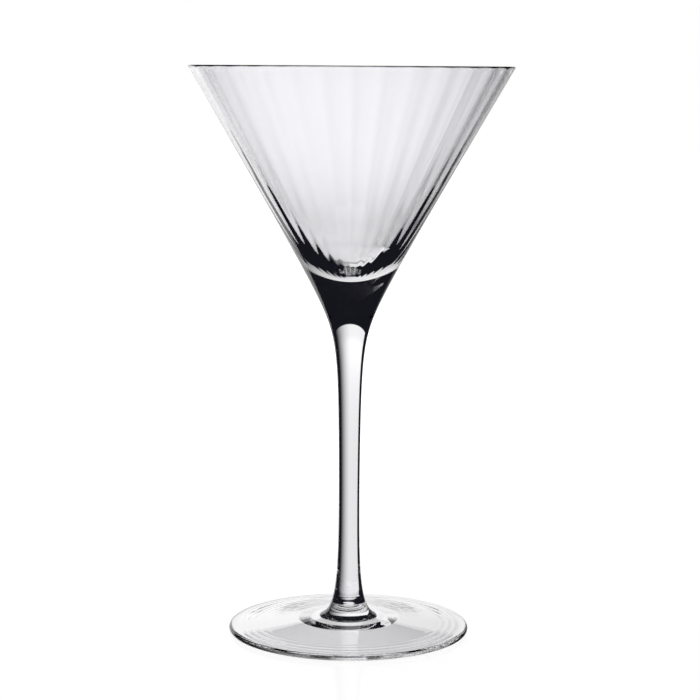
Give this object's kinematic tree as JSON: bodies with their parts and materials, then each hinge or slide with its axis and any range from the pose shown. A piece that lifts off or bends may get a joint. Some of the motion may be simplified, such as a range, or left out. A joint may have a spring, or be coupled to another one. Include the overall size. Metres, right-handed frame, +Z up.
{
  "type": "martini glass",
  "caption": "Stemmed cocktail glass with a wide conical bowl, ribbed inside, on a slender drawn stem and a flat round foot.",
  "frame": {"origin": "centre of the circle that the foot rests on, at the height of the surface it stands on", "axes": "+Z up along the glass's axis; it is round, so +X and +Y only name two directions"},
  "size_m": [0.1076, 0.1076, 0.19],
  "materials": {
    "clear_glass": "fire-polished, clear and colourless"
  },
  "bodies": {
    "root": {"bowl": "clear_glass", "stem": "clear_glass", "foot": "clear_glass"}
  },
  "joints": []
}
